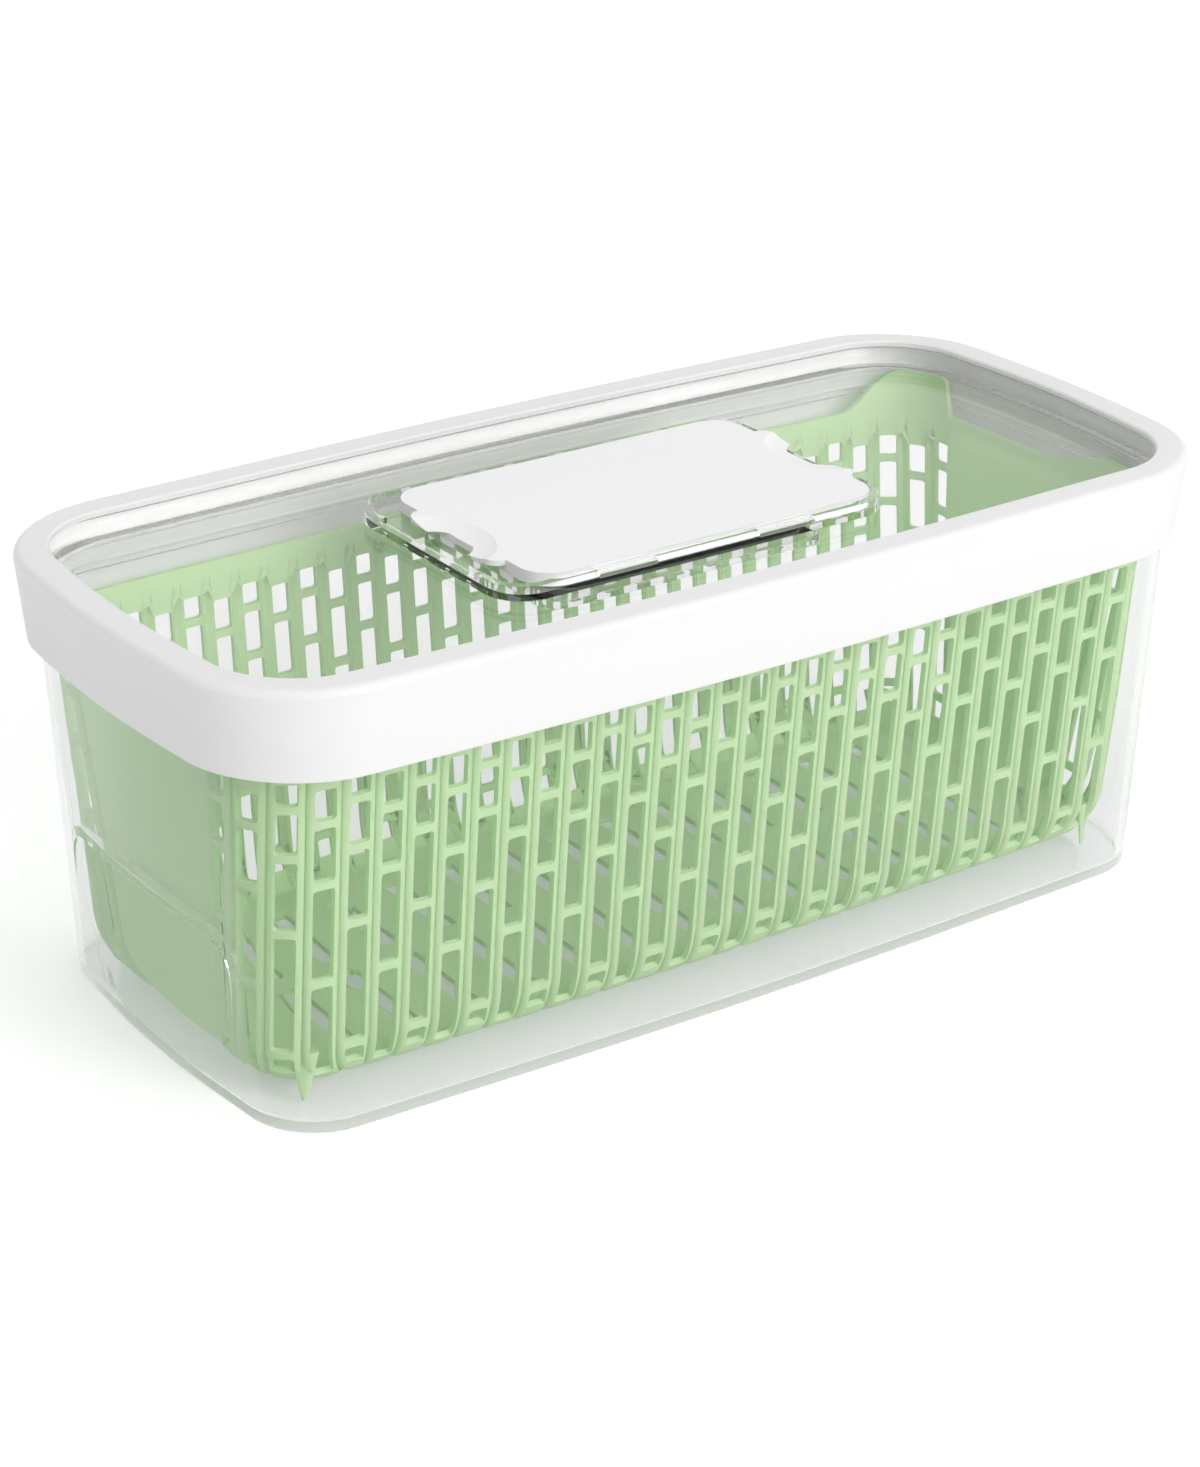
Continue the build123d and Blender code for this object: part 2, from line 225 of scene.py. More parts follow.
def bow(loop, length, width):
    """Bows all four sides of an outline with a lattice of three by three points.

    The swing undoes the lattice's own smoothing along a side, and the spread does so across it.
    """
    cage_data = bpy.data.lattices.new("cage")
    cage = bpy.data.objects.new("cage", cage_data)
    bpy.context.scene.collection.objects.link(cage)
    cage_data.points_u, cage_data.points_v, cage_data.points_w = 3, 3, 1
    cage_data.interpolation_type_u = cage_data.interpolation_type_v = "KEY_BSPLINE"
    cage.scale = (length * mm, width * mm, 1)
    sides = (-1.0, 0.0, 1.0)
    swing = (-4 / 3, 2 / 3, -4 / 3)
    spread = 1.2
    for j in range(3):
        for i in range(3):
            point = cage_data.points[3 * j + i]
            point.co_deform[0] += spread * sides[i] * swing[j] * bow_short / length
            point.co_deform[1] += spread * sides[j] * swing[i] * bow_long / width
    bpy.context.view_layer.update()
    make_active(loop)
    step = loop.modifiers.new("bow", "LATTICE")
    step.object = cage
    bpy.ops.object.modifier_apply(modifier=step.name)
    bpy.data.objects.remove(cage)


def add_outline(name, z, length, width, corner):
    """One bowed outline at a height, as a loop of edges in a vertex group of its own name."""
    clear_selection()
    bpy.ops.mesh.primitive_plane_add(size=1)
    loop = bpy.context.active_object
    loop.name = name
    loop.scale = (length * mm, width * mm, 1)
    settle(loop)
    start_edit(loop)
    bpy.ops.mesh.select_all(action="SELECT")
    bpy.ops.mesh.bevel(offset=corner * mm, segments=corner_steps, affect="VERTICES")
    bpy.ops.mesh.delete(type="ONLY_FACE")
    end_edit()
    for axis, cuts in ((0, long_side_cuts), (1, short_side_cuts)):
        start_edit_on_edges(loop, lambda middle, way: abs(way[axis]) > 0.999)
        bpy.ops.mesh.subdivide(number_cuts=cuts)
        end_edit()
    bow(loop, length, width)
    loop.location.z = z * mm
    settle(loop)
    group = loop.vertex_groups.new(name=name)
    group.add(list(range(len(loop.data.vertices))), 1.0, "REPLACE")
    return loop


# %% [markdown]
# ## A wall from outlines
# A wall is a stack of such outlines, bridged one after another. A tub is closed by a cap at each end of
# the stack, and a ring by a last bridge from its end to its start.

# %% Bridged walls
bridge_gap = 20


def start_edit_on_groups(piece, labels):
    start_edit(piece)
    for label in labels:
        bpy.ops.object.vertex_group_set_active(group=label)
        bpy.ops.object.vertex_group_select()


def bridge_wall(name, outlines, ring=False):
    """Bridges a list of outlines in turn, each a height and the plan's length, width and corner.

    The outlines stand well apart while they are bridged, because a bridge between two that lie in one
    plane can twist. Each then goes to its own height.
    """
    names = [f"{name}_{step}" for step in range(len(outlines))]
    loops = []
    for step, label in enumerate(names):
        loops.append(add_outline(label, bridge_gap * step, *outlines[step][1:]))
    wall = join(loops)
    wall.name = name
    pairs = list(zip(names, names[1:])) + ([(names[-1], names[0])] if ring else [])
    for pair in pairs:
        start_edit_on_groups(wall, pair)
        bpy.ops.mesh.bridge_edge_loops()
        end_edit()
    for label in [] if ring else [names[0], names[-1]]:
        start_edit_on_groups(wall, [label])
        bpy.ops.mesh.edge_face_add()
        end_edit()
    heights = {label: sizes[0] * mm for label, sizes in zip(names, outlines)}
    for point in wall.data.vertices:
        point.co.z = heights[wall.vertex_groups[point.groups[0].group].name]
    wall.vertex_groups.clear()
    return outward(wall)


def drawn_in(sizes, inset):
    """A plan's length, width and corner, drawn in all round."""
    length, width, corner = sizes
    return length - 2 * inset, width - 2 * inset, corner - inset


# %% [markdown]
# ## The clear tub
# The tub narrows towards its base and has a small lip at the rim. It would be moulded in one shot of
# clear plastic, and the taper lets it leave the mould. Here, outside and inside are two closed shapes.

# %% Tub shapes
rim_height = 119.0
tub_base = (322.6, 145.8, 21.0)
tub_rim = (336.7, 151.9, 26.0)
tub_wall = 2.2
tub_floor = 2.5
lip_reach = 1.2
lip_depth = 3.0
lip_slope = 0.2
base_edge = ((0, 1.1), (0.25, 0.45), (0.9, 0))
floor_edge = ((0, 2.0), (0.4, 0.7), (1.8, 0))


def tub_plan(z, inset=0.0):
    """The tub's outline at a height, which tapers evenly from rim to base."""
    share = z / rim_height
    sizes = [low + (high - low) * share for low, high in zip(tub_base, tub_rim)]
    return z, *drawn_in(sizes, inset)


lip_low = rim_height - lip_depth
tub_outer = [tub_plan(z, inset) for z, inset in base_edge]
tub_outer += [tub_plan(lip_low), tub_plan(lip_low + lip_slope, -lip_reach)]
tub_outer += [tub_plan(rim_height, -lip_reach)]
tub_inner = [tub_plan(tub_floor + z, tub_wall + inset) for z, inset in floor_edge]
tub_inner += [tub_plan(rim_height + 1, tub_wall)]
tub = bridge_wall("clear_tub_shell", tub_outer)
hollow = bridge_wall("tub_hollow", tub_inner)
print("tub plan at the rim", [round(size, 1) for size in tub_plan(rim_height)[1:]])

# %% [markdown]
# ## Finger recesses
# Each short end has a shallow recess for the fingers. Outside and inside both lose it, the inside a wall's
# thickness further in, so that the wall keeps its thickness when the inside is cut out of the outside.

# %% Recesses
recess_face = 160.7
recess_half = 45.5
recess_top = 52
recess_corner = 9
past_tub_end = 185.0
below_tub = -5


def add_recess(side, grow):
    """The cutter for one recess, grown all round by a wall."""
    ends = sorted((side * (recess_face - grow), side * past_tub_end))
    reach = recess_half + grow
    tool = add_block("recess_tool", (ends[0], -reach, below_tub), (ends[1], reach, recess_top + grow))
    start_edit_on_edges(tool, lambda middle, way: abs(way.x) > 0.9 and middle.z > 0)
    bpy.ops.mesh.bevel(offset=recess_corner * mm, segments=8)
    end_edit()
    return tool


for side in (-1, 1):
    carve(tub, add_recess(side, 0.0))
    carve(hollow, add_recess(side, tub_wall))
carve(tub, hollow)
soften(tub, 0.25, 2, 50)
print("tub faces", len(tub.data.polygons))

# %% [markdown]
# ## The white ring
# A drafted skirt hangs round the tub's rim, and its flat top reaches inwards to the clear tray. The
# outer top edge is well rounded. One bridged loop of outlines goes up the outside, over the top and
# back down inside.

# %% Ring
ring_top = 136.3
ring_foot = 109.3
ring_low = (345.2, 159.9, 34.6)
ring_high = (350.0, 164.7, 37.0)
ring_wall = 2.0
ring_underside = 134.5
ring_round = 2.4
foot_break = 0.4
mouth = (329.6, 144.3, 24.5)
mouth_break = 0.5

ring_plans = [(ring_foot, *drawn_in(ring_low, foot_break)), (ring_foot + foot_break, *ring_low)]
for degrees in (0, 18, 36, 54, 72, 90):
    turn = math.radians(degrees)
    drop, inset = ring_round * (1 - math.sin(turn)), ring_round * (1 - math.cos(turn))
    ring_plans.append((ring_top - drop, *drawn_in(ring_high, inset)))
ring_plans += [(ring_top, *drawn_in(mouth, -mouth_break)), (ring_top - mouth_break, *mouth)]
ring_plans += [(ring_underside, *mouth), (ring_underside, *drawn_in(ring_high, ring_wall))]
ring_plans += [(ring_foot, *drawn_in(ring_low, ring_wall))]
ring = bridge_wall("white_ring_frame", ring_plans, ring=True)
shade(ring, 40)
print("ring faces", len(ring.data.polygons))

# %% [markdown]
# ## The clear tray of the lid
# The lid is one clear moulding: a sunk tray with a soft inner bend, a flange under the ring, and a seat
# for the seal below.

# %% Tray
tray_top = 129.0
tray_underside = 127.2
tray_bend = 6.0
seat = (334.5, 149.7, 24.9)
seat_foot = 122.2
half_seat_wall = 1.0
flange = (344.8, 159.5, 34.4)
flange_low = 132.7
flange_high = 134.4

seat_inside = drawn_in(seat, half_seat_wall)
seat_outside = drawn_in(seat, -half_seat_wall)
tray_plans = [(tray_underside, *seat_inside), (seat_foot, *seat_inside), (seat_foot, *seat_outside)]
tray_plans += [(flange_low, *seat_outside), (flange_low, *flange)]
tray_plans += [(flange_high, *flange), (flange_high, *mouth)]
for degrees in (0, 22.5, 45, 67.5, 90):
    turn = math.radians(degrees)
    rise, inset = tray_bend * (1 - math.sin(turn)), tray_bend * (1 - math.cos(turn))
    tray_plans.append((tray_top + rise, *drawn_in(mouth, inset)))
tray = bridge_wall("clear_tray", tray_plans)
print("tray outlines", len(tray_plans))

# %% [markdown]
# ## The filter well
# In the middle of the tray a shallow well holds the filter. A block is joined on from below and a smaller
# one is cut out of it, which leaves a wall. Slots in its floor let the air through.

# %% Well
well_half = (50, 35)
well_corner = 8
well_wall = 1.6
well_bottom = 119.6
well_overlap = 128.2
well_slot_half = (1.5, 26)
well_slot_pitch = 12
above_lid = 135

low, high = (-well_half[0], -well_half[1], well_bottom), (*well_half, well_overlap)
carve(tray, add_rounded_block("well_outside", low, high, well_corner), "UNION")
well_inner = [size - well_wall for size in well_half]
low, high = (-well_inner[0], -well_inner[1], well_bottom + well_wall), (*well_inner, above_lid)
carve(tray, add_rounded_block("well_inside", low, high, well_corner - well_wall))
for step in range(-3, 4):
    middle = step * well_slot_pitch
    low = (middle - well_slot_half[0], -well_slot_half[1], 118)
    carve(tray, add_block("well_slot", low, (middle + well_slot_half[0], well_slot_half[1], 124)))
soften(tray, 0.3, 2, 50)
print("tray faces", len(tray.data.polygons))

# %% [markdown]
# ## The vent housing
# A clear frame clips over the well. It has a thin deck and a raised rim, with a gate at each end for the
# cover's tongue.

# %% Housing frame
housing_half = (68.4, 42.6)
housing_corner = 12.5
housing_wall = 2.6
housing_top = 133.4
deck_top = 130.2
deck_gap = 0.02
gate_half = 25
gate_sill = 131.6
above_all = 140

low, high = (-housing_half[0], -housing_half[1], tray_top + deck_gap), (*housing_half, housing_top)
housing = add_rounded_block("clear_vent_housing", low, high, housing_corner, 10)
bay = [size - housing_wall for size in housing_half]
low, high = (-bay[0], -bay[1], deck_top), (*bay, above_all)
carve(housing, add_rounded_block("bay", low, high, housing_corner - housing_wall, 10))
print("housing bay", bay)

# %% [markdown]
# ## Openings of the housing
# The deck has vent slots. The long sides have small latch windows, and the ends have notches below, which
# leave short ribs. Each kind is cut in a row with one loop.

# %% Housing openings
vent_middle = 21.0
vent_half = (15, 1.5)
vent_pitch = 9
window_middle = 28.0
window_half = 10
window_low = 131.0
window_high = 132.6
notch_pitch = 11
notch_half = 1

for side in (-1, 1):
    gate = sorted((side * 60.0, side * 75.0))
    carve(housing, add_block("gate", (gate[0], -gate_half, gate_sill), (gate[1], gate_half, above_all)))
    for step in range(-2, 3):
        x, y = side * vent_middle, step * vent_pitch
        low, high = (x - vent_half[0], y - vent_half[1], 125), (x + vent_half[0], y + vent_half[1], 131)
        carve(housing, add_block("vent_slot", low, high))
    for x in (-window_middle, window_middle):
        face = sorted((side * 39.0, side * 45.0))
        low, high = (x - window_half, face[0], window_low), (x + window_half, face[1], window_high)
        carve(housing, add_block("window", low, high))
    for step in range(-2, 3):
        end, y = sorted((side * 67.7, side * 70.0)), step * notch_pitch
        carve(housing, add_block("notch", (end[0], y - notch_half, 128), (end[1], y + notch_half, 130)))
soften(housing, 0.35, 2, 50)
print("housing faces", len(housing.data.polygons))

# %% [markdown]
# ## The vent cover
# The white slider lies in the housing. Its top is flat with a soft edge, and each end has a thin tongue
# that runs through the gate in the housing, and a shallow scoop for a finger. A flattened ball cuts the
# scoop.

# %% Cover
cover_middle = 4.5
cover_half = (61.0, 39.6)
cover_corner = 10.0
cover_low = 130.4
cover_high = 134.2
tongue_half = (65.6, 23)
tongue_corner = 4.6
tongue_thick = 1.6
scoop_size = (15.0, 21.0, 3.4)
scoop_middle = 67.5
scoop_lift = 1.3

start, end = cover_middle - cover_half[0], cover_middle + cover_half[0]
low, high = (start, -cover_half[1], cover_low), (end, cover_half[1], cover_high)
cover = add_rounded_block("white_vent_cover", low, high, cover_corner, 10)
start, end = cover_middle - tongue_half[0], cover_middle + tongue_half[0]
low, high = (start, -tongue_half[1], cover_high - tongue_thick), (end, tongue_half[1], cover_high)
carve(cover, add_rounded_block("tongue", low, high, tongue_corner, 6), "UNION")
for side in (-1, 1):
    clear_selection()
    bpy.ops.mesh.primitive_uv_sphere_add(segments=96, ring_count=64, radius=1)
    dish = bpy.context.active_object
    dish.scale = [size * mm for size in scoop_size]
    dish.location = ((cover_middle + side * scoop_middle) * mm, 0, (cover_high + scoop_lift) * mm)
    settle(dish)
    carve(cover, dish)
soften(cover, 0.6, 3, 25)
print("cover faces", len(cover.data.polygons))

# %% [markdown]
# ## One flat flute of each kind
# Each long wall is a row of upright flutes 10 mm apart, nearly flat in front and round at the sides, with
# slots between thin bars. Every second flute has its bars at other heights. One flute of each kind is
# modelled flat, as if the wall were unrolled: a plane is cut into cells and the slots' cells are deleted.

# %% Flat flutes
flute_pitch = 10.0
basket_rim = 113.8
basket_low = 6.5
half_slot = 3.0
bar = 2.4
bars = {1: (96.5, 81.6, 58.0, 19.0), 0: (91.0, 72.2, 41.3)}
slot_top = {1: 104.3, 0: 101.6}
slot_bottom = {1: 12.5, 0: 10.5}
slot_corner = 1.0
turn_top = 21.5
turn_levels = (7.1, 8.3, 10.0, 12.4, 15.0, 18.0, turn_top)
rim_levels = (105.6, 107.2, 108.8, 110.4, 112.0)
flute_cuts = (-4.7, -4.2, -3.6, -3.0, -1.0, 1.0, 3.0, 3.6, 4.2, 4.7)
plain_cuts = (-2.5, 0.0, 2.5)


def slot_spans(kind):
    """The heights between which one flute is open, from the top down."""
    high = slot_top[kind]
    spans = []
    for middle in bars[kind]:
        spans.append((middle + bar / 2, high))
        high = middle - bar / 2
    spans.append((slot_bottom[kind], high))
    return spans


def add_flute(kind, spans, across):
    """A flat strip, cut into cells, with its slots open and their corners rounded."""
    clear_selection()
    bpy.ops.mesh.primitive_plane_add(size=1, rotation=(math.pi / 2, 0, 0))
    strip = bpy.context.active_object
    strip.name = f"flute_{kind}"
    settle(strip)
    height = basket_rim - basket_low
    strip.scale = (flute_pitch * mm, 1, height * mm)
    strip.location = (0, 0, (basket_low + height / 2) * mm)
    settle(strip)
    levels = sorted({round(z, 3) for span in spans for z in span} | set(turn_levels) | set(rim_levels))
    cuts = [((x * mm, 0, 0), (1, 0, 0)) for x in across] + [((0, 0, z * mm), (0, 0, 1)) for z in levels]
    start_edit(strip)
    for place, normal in cuts:
        bpy.ops.mesh.select_all(action="SELECT")
        bpy.ops.mesh.bisect(plane_co=place, plane_no=normal)
    end_edit()

    def in_slot(middle, normal):
        return abs(middle.x) < half_slot and any(low < middle.z < high for low, high in spans)

    start_edit_on_faces(strip, in_slot)
    bpy.ops.mesh.delete(type="FACE")
    end_edit()
    corners = [(x, z) for span in spans for z in span for x in (-half_slot, half_slot)]
    start_edit_on_points(
        strip, lambda place: any(abs(place.x - x) < 0.01 and abs(place.z - z) < 0.01 for x, z in corners)
    )
    bpy.ops.mesh.bevel(offset=slot_corner * mm, segments=3, affect="VERTICES")
    end_edit()
    return strip


flutes = {kind: add_flute(kind, slot_spans(kind), flute_cuts) for kind in (1, 0)}
print("flute faces", {kind: len(piece.data.polygons) for kind, piece in flutes.items()})

# %% [markdown]
# ## A row of flutes
# Copies of the two flutes stand side by side as one long wall, and plain strips follow them as one short
# wall. Each copy has a mesh of its own until they are joined.

# %% Rows
columns_each_side = 17
end_columns = 8
half_wall = (columns_each_side + 0.5) * flute_pitch

plain = add_flute(2, [], plain_cuts)
strips = []
for column in range(-columns_each_side, columns_each_side + 1):
    strip = copy_piece(flutes[abs(column) % 2])
    strip.location.x = column * flute_pitch * mm
    strips.append(strip)
for step in range(end_columns):
    strip = copy_piece(plain)
    strip.location.x = (half_wall + (step + 0.5) * flute_pitch) * mm
    strips.append(strip)
basket = join(strips)
basket.name = "green_basket_shell"
settle(basket)
start_edit(basket)
bpy.ops.mesh.select_all(action="SELECT")
bpy.ops.mesh.remove_doubles(threshold=0.02 * mm)
end_edit()
for piece in (*flutes.values(), plain):
    bpy.data.objects.remove(piece)
print("strip faces", len(basket.data.polygons))

# %% [markdown]
# ## Grips and shoulders
# Two opposite corners carry a tall grip that swoops up from the long wall, and the other two a low
# shoulder that rises along the short wall. The strip's upper edge is extruded there, and the new rows
# are spread over the rise in the next step.

# %% Grips
grip_height = 12.4
grip_start = 133.0
grip_swoop = 21.0
grip_end = 172.0
grip_round = 4.0
shoulder_height = 8.0
shoulder_edge = -147.0
shoulder_start = 42.0
shoulder_swoop = 36.0
grip_rows = 4


def smooth(share):
    """A soft step from nought to one."""
    share = min(max(share, 0.0), 1.0)
    return share * share * (3 - 2 * share)


def rim_rise(along):
    """How far the rim rises above its plain height, at a distance along from the middle of the wall."""
    if grip_start < along < grip_end:
        swoop = grip_height * smooth((along - grip_start) / grip_swoop)
        near = max(0.0, along - grip_end + grip_round)
        rounded = grip_height - grip_round + math.sqrt(max(0.0, grip_round**2 - near**2))
        return min(swoop, rounded)
    if along <= shoulder_edge:
        return shoulder_height
    if along > half_wall:
        return shoulder_height * smooth((along - half_wall - shoulder_start) / shoulder_swoop)
    return 0.0




def on_raised_rim(middle, way):
    """True for an edge along the plain rim where the rim rises."""
    return abs(middle.z - basket_rim) < 0.02 and abs(way.z) < 0.5 and rim_rise(middle.x) > 0


start_edit_on_edges(basket, on_raised_rim)
for row in range(grip_rows):
    bpy.ops.mesh.extrude_region_move(TRANSFORM_OT_translate={"value": (0, 0, 1 * mm)})
end_edit()
print("points with grips", len(basket.data.vertices))

# %% [markdown]
# ## The form of a flute
# A flute stands out most in front and falls away round to a sharp valley at each side. It fades into the
# plain rim above, and near the floor its valleys are deeper and the whole wall turns in.

# %% Flute form
flute_depth = 1.5
flute_flat = 3.0
flute_flank = 2.0
rim_reach = 1.2
head_start = 111.0
head_length = 6.0
foot_valley = 1.1
foot_start = 24.0
foot_length = 12.0
turn_depth = 8.0
turn_end = 0.97


def head_share(z):
    """One on the flutes, and nought on the plain rim above them."""
    return smooth((head_start - z) / head_length)


def flute_rise(offset, z):
    """How far a flute stands out, at a distance from its middle."""
    side = max(0.0, abs(offset) - flute_flat) / flute_flank
    rise = flute_depth * math.sqrt(max(0.0, 1.0 - side * side))
    valley = foot_valley * (1.0 - rise / flute_depth) * smooth((foot_start - z) / foot_length)
    head = head_share(z)
    return rise * head - valley + rim_reach * (1.0 - head)


def turn_inset(z):
    """How far the wall turns in at a height near the floor."""
    reach = max(0.0, turn_top - z) / (turn_top - basket_low)
    return turn_depth * (1.0 - math.sqrt(max(0.0, 1.0 - min(reach, 1.0) ** 2 * turn_end)))


print("flute rise in front and in the valley", flute_rise(0, 60), flute_rise(5, 60))

# %% [markdown]
# ## The wrap
# Wrapping is a plain sum. The distance along the strip becomes a place on the basket's plan: first the
# bowed long side, then the corner's arc, then the short side. The flute stands out along the plan's
# normal. The plan's straight part is shorter near the floor, so distances close to the corner are
# shifted to keep each flute upright.

# %% Wrap
basket_foot_plan = (306, 115, 15)
basket_rim_plan = (320.6, 132.4, 22)
basket_bow_long = 3.0
basket_bow_short = 1.5
corner_start = 138.3
shift_start = 120.0
shift_length = 15.0


def basket_plan(z):
    """The basket's length, width and corner at a height, without the turn at its foot."""
    share = (z - basket_low) / (basket_rim - basket_low)
    return [low + (high - low) * share for low, high in zip(basket_foot_plan, basket_rim_plan)]


def place_on_plan(along, z, out):
    """The place of a point of the strip once it is wrapped, stood out by a distance."""
    length, width, corner = basket_plan(z)
    inset = turn_inset(z)
    length, width = length - 2 * inset, width - 2 * inset
    straight = length / 2 - corner
    arc = corner * math.pi / 2
    side = 1 if along >= 0 else -1
    run = abs(along)
    if run > shift_start:
        run -= (corner_start - straight) * smooth((run - shift_start) / shift_length)
    if run <= straight:
        bowed = basket_bow_long * (run / straight) ** 2
        return Vector((side * run, width / 2 - bowed + out, z))
    edge = width / 2 - basket_bow_long - corner
    if run <= straight + arc:
        angle = math.pi / 2 - (run - straight) / corner
        x = straight + (corner + out) * math.cos(angle)
        return Vector((side * x, edge + (corner + out) * math.sin(angle), z))
    return Vector((side * (length / 2 + out), edge - (run - straight - arc), z))


def place_on_end(share, z, out):
    """The plain short wall, from one long wall's last flute to the next one's first."""
    start = place_on_plan(half_wall, z, out)
    side = 1 - 2 * share
    return Vector((start.x + basket_bow_short * (1 - side**2), start.y * side, z))


for point in basket.data.vertices:
    along, z = point.co.x / mm, point.co.z / mm
    row = max(0.0, z - basket_rim)
    if row > 0:
        z = basket_rim + rim_rise(along) * row / grip_rows
    if along <= half_wall:
        offset = (along + half_wall) % flute_pitch - flute_pitch / 2
        place = place_on_plan(along, z, flute_rise(offset, z))
    else:
        share = (along - half_wall) / (end_columns * flute_pitch)
        place = place_on_end(share, z, rim_reach * (1.0 - head_share(z)))
    point.co = place * mm
print("highest point", round(max(point.co.z for point in basket.data.vertices) / mm, 1))

# %% [markdown]
# ## The second half, the floor and the wall's thickness
# One long wall and one short wall make half of the basket, and half a turn gives the rest. The lowest
# loop is filled as the floor, and the skin is then given its thickness inwards.

# %% Second half and thickness
basket_wall = 1.9

half = copy_piece(basket)
half.rotation_euler = Euler((0, 0, math.pi))
settle(half)
join([basket, half])
start_edit(basket)
bpy.ops.mesh.select_all(action="SELECT")
bpy.ops.mesh.remove_doubles(threshold=0.05 * mm)
end_edit()
start_edit_on_edges(basket, lambda middle, way: middle.z < basket_low + 0.05)
bpy.ops.mesh.edge_face_add()
end_edit()
outward(basket)
make_active(basket)
wall = basket.modifiers.new("wall", "SOLIDIFY")
wall.thickness = basket_wall * mm
wall.offset = -1
bpy.ops.object.modifier_apply(modifier=wall.name)
print("basket faces before drains", len(basket.data.polygons))

# %% [markdown]
# ## Drains and feet
# Two rows of long slots drain the floor. A small pointed foot at each corner keeps the basket off the
# tub's floor.

# %% Drains
drain_pitch = 20
drain_half = (3, 17)
drain_middle = 21.0

drains = []
for column in range(-6, 7):
    for side in (-1, 1):
        x, y = column * drain_pitch, side * drain_middle
        low, high = (x - drain_half[0], y - drain_half[1], 2), (x + drain_half[0], y + drain_half[1], 12)
        drains.append(add_block("drain", low, high))
carve(basket, join(drains))
print("basket faces", len(basket.data.polygons))

# %% Feet
foot_size = (4.2, 1.7, 15.0)
foot_place = (142.6, 52.0, 10.3)
foot_turn = 28

for turn_x in (-1, 1):
    for turn_y in (-1, 1):
        clear_selection()
        bpy.ops.mesh.primitive_cone_add(
            vertices=24, radius1=1.0, radius2=0.22, depth=1.0, rotation=(math.pi, 0, 0)
        )
        foot = bpy.context.active_object
        foot.scale = [size * mm for size in foot_size]
        foot.location = (turn_x * foot_place[0] * mm, turn_y * foot_place[1] * mm, foot_place[2] * mm)
        foot.rotation_euler = Euler((math.pi, 0, -turn_x * turn_y * math.radians(foot_turn)))
        settle(foot)
        soften(foot, 0.4, 2, 30)
        join([basket, foot])
make_active(basket)
bpy.ops.object.shade_smooth_by_angle(angle=math.radians(38))
print("lowest point of the feet", round(min(point.co.z for point in basket.data.vertices) / mm, 1))

# %% [markdown]
# ## The seal
# The seal is a soft channel that grips the foot of the lid's seat and closes the gap to the tub's rim.
# Its outlines go round the channel's section, so it is bridged as a ring.

# %% Seal
seal_low = 119.2
seal_high = 124.2
seal_half = 2.0
seal_break = 0.4
channel_half = 1.05
channel_floor = 122.25

seal_spots = ((seal_low, seal_half - seal_break), (seal_low, seal_break - seal_half))
seal_spots += ((seal_low + seal_break, -seal_half), (seal_high, -seal_half), (seal_high, -channel_half))
seal_spots += ((channel_floor, -channel_half), (channel_floor, channel_half), (seal_high, channel_half))
seal_spots += ((seal_high, seal_half), (seal_low + seal_break, seal_half))
seal = bridge_wall("soft_seal_ring", [(z, *drawn_in(seat, inset)) for z, inset in seal_spots], ring=True)
shade(seal, 40)
print("seal faces", len(seal.data.polygons))

# %% [markdown]
# ## The filter pouch
# The pouch is a small pillow of bonded cloth with a flat sealed seam, filled with granules. Its top is
# inset and lifted twice, which crowns it, and its edges are then rounded.

# %% Pouch
pillow_low = (-43.4, -28.4, 121.35)
pillow_high = (43.4, 28.4, 127.1)
seam_low = (-48.0, -33.0, 123.7)
seam_high = (48.0, 33.0, 124.7)
pouch_corner = 7.0
crown_steps = ((6.0, 0.6), (9.0, 0.2))

pouch = add_rounded_block("filter_pouch_pillow", pillow_low, pillow_high, pouch_corner)
start_edit_on_faces(pouch, lambda middle, normal: normal.z > 0.9)
for inset, lift in crown_steps:
    bpy.ops.mesh.inset(thickness=inset * mm)
    bpy.ops.transform.translate(value=(0, 0, lift * mm))
end_edit()
soften(pouch, 0.9, 3, 20)
carve(pouch, add_rounded_block("seam", seam_low, seam_high, pouch_corner), "UNION")
soften(pouch, 0.3, 2, 50)
print("pouch faces", len(pouch.data.polygons))

# %% [markdown]
# ## A shared grain
# All the finishes share a fine grain. It is one node group with a scale and two limits, which gives a
# roughness and a height. The shaders stay in the materials themselves.


# %% Grain group
def make_grain():
    """Noise as a roughness between two limits, and as a height for a bump."""
    group = bpy.data.node_groups.new("moulded_grain", "ShaderNodeTree")
    for name in ("Scale", "Low", "High"):
        group.interface.new_socket(name=name, in_out="INPUT", socket_type="NodeSocketFloat")
    for name in ("Roughness", "Height"):
        group.interface.new_socket(name=name, in_out="OUTPUT", socket_type="NodeSocketFloat")
    nodes, links = group.nodes, group.links
    entry, leave = nodes.new("NodeGroupInput"), nodes.new("NodeGroupOutput")
    place = nodes.new("ShaderNodeTexCoord")
    noise = nodes.new("ShaderNodeTexNoise")
    noise.inputs["Detail"].default_value = 3.0
    span = nodes.new("ShaderNodeMapRange")
    links.new(place.outputs["Object"], noise.inputs["Vector"])
    links.new(entry.outputs["Scale"], noise.inputs["Scale"])
    links.new(noise.outputs["Fac"], span.inputs["Value"])
    links.new(entry.outputs["Low"], span.inputs["To Min"])
    links.new(entry.outputs["High"], span.inputs["To Max"])
    links.new(span.outputs["Result"], leave.inputs["Roughness"])
    links.new(noise.outputs["Fac"], leave.inputs["Height"])
    return group


grain = make_grain()
print("grain sockets", [item.name for item in grain.interface.items_tree])

# %% [markdown]
# ## Parts that all materials use
# One helper starts a material, one puts the grain on its shader, and one lets light pass it. Thin
# plastic lets much of the light through. Shadow rays therefore pass it in part, so that the floor below
# and the far walls aren't dark.


